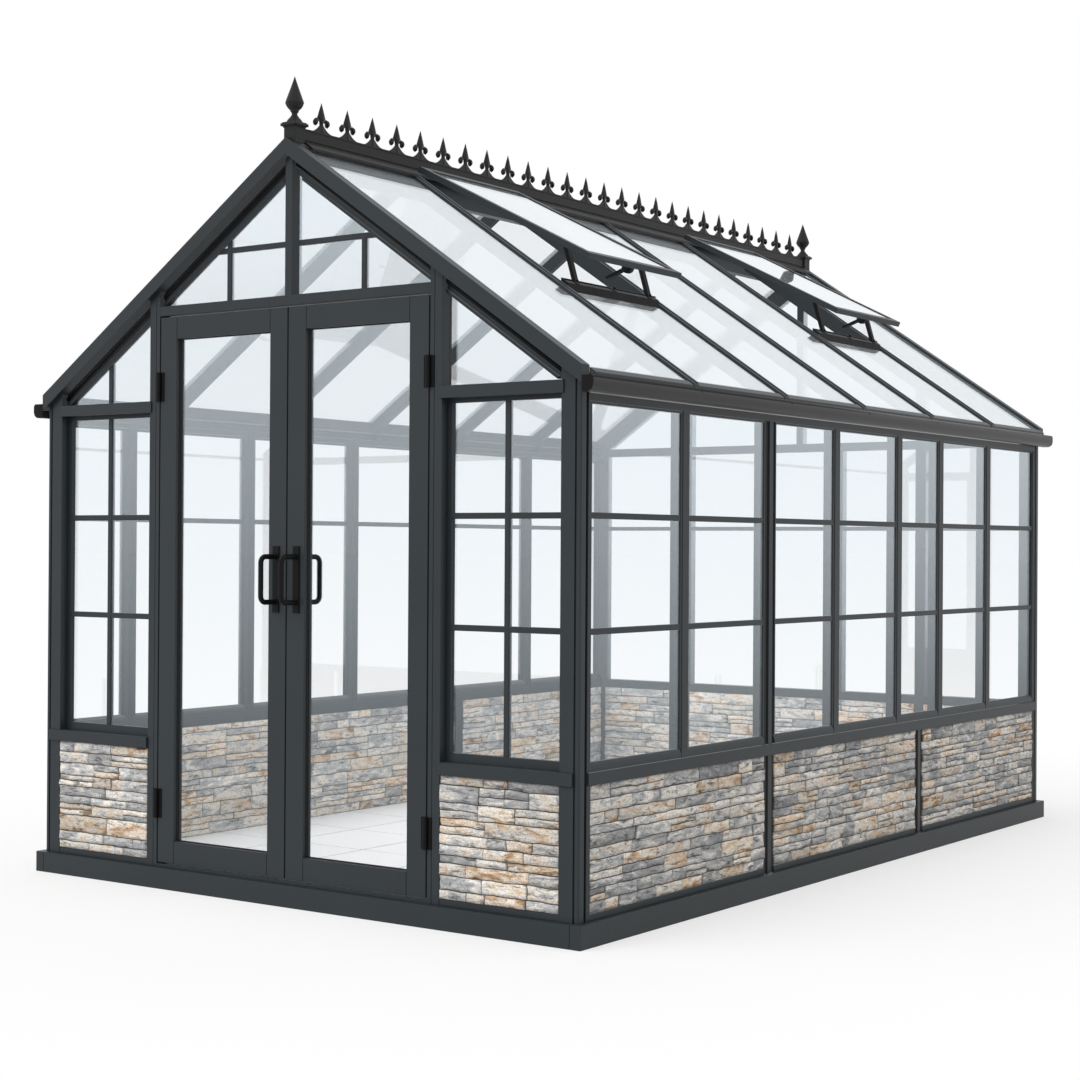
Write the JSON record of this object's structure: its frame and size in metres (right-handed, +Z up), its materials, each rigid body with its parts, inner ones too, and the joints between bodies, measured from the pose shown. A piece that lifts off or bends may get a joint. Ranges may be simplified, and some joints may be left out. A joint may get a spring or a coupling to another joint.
{
  "type": "glass greenhouse",
  "caption": "Pitched-roof glass greenhouse with stone-clad dwarf walls, a metal base, double doors, propped roof vents and a spiked ridge crest.",
  "frame": {"origin": "middle of the footprint, on the ground", "axes": "+X to the right across the front gable, +Y from the front gable to the back one, +Z up"},
  "size_m": [2.57, 3.912, 2.868],
  "materials": {
    "frame_paint": "satin powder coat, dark grey",
    "base_paint": "satin powder coat, dark grey",
    "gutter_paint": "satin powder coat, dark grey",
    "crest_paint": "satin black-grey paint",
    "black_hardware": "satin black",
    "clear_glass": "clear float glass",
    "stone_cladding": "split ledger stone in grey, beige and tan",
    "floor_tile": "matt pale grey tile"
  },
  "bodies": {
    "root": {"back_barge_boards": "frame_paint", "back_gable_rafters": "frame_paint", "back_glass": "clear_glass", "back_stone_panels": "stone_cladding", "back_wall_posts": "frame_paint", "base_back": "base_paint", "base_front": "base_paint", "base_sides": "base_paint", "corner_posts": "frame_paint", "door_head": "frame_paint", "door_posts": "frame_paint", "eave_beams": "frame_paint", "end_dado_rails": "frame_paint", "finials": "crest_paint", "fixed_hinge_halves": "black_hardware", "floor": "floor_tile", "front_barge_boards": "frame_paint", "front_gable_rafters": "frame_paint", "front_glass": "clear_glass", "front_stone_panels": "stone_cladding", "front_window_frames": "frame_paint", "king_posts": "frame_paint", "left_glass": "clear_glass", "left_gutter": "gutter_paint", "left_rafters": "frame_paint", "left_roof_glass": "clear_glass", "left_stone_panels": "stone_cladding", "left_wall_posts": "frame_paint", "ridge_beam": "frame_paint", "ridge_cap": "crest_paint", "ridge_cresting": "crest_paint", "ridge_flashings": "crest_paint", "right_glass": "clear_glass", "right_gutter": "gutter_paint", "right_rafters": "frame_paint", "right_roof_glass": "clear_glass", "right_stone_panels": "stone_cladding", "right_wall_posts": "frame_paint", "side_dado_rails": "frame_paint", "threshold": "frame_paint", "transoms": "frame_paint", "vent_glass": "clear_glass", "vent_sashes": "frame_paint", "vent_sills": "black_hardware", "vent_stays": "black_hardware"},
    "left_door": {"left_door_frame": "frame_paint", "left_door_glass": "clear_glass", "left_door_handles": "black_hardware", "left_door_hinge_leaves": "black_hardware"},
    "right_door": {"right_door_frame": "frame_paint", "right_door_glass": "clear_glass", "right_door_handles": "black_hardware", "right_door_hinge_leaves": "black_hardware"}
  },
  "joints": [
    {"name": "right_door_swing", "type": "hinge", "parent": "root", "child": "right_door", "pos_m": [0.624, -1.908, 1.06], "axis": [0, 0, 1], "range_deg": [0, 110]},
    {"name": "left_door_swing", "type": "hinge", "parent": "root", "child": "left_door", "pos_m": [-0.624, -1.908, 1.06], "axis": [0, 0, -1], "range_deg": [0, 110]}
  ]
}
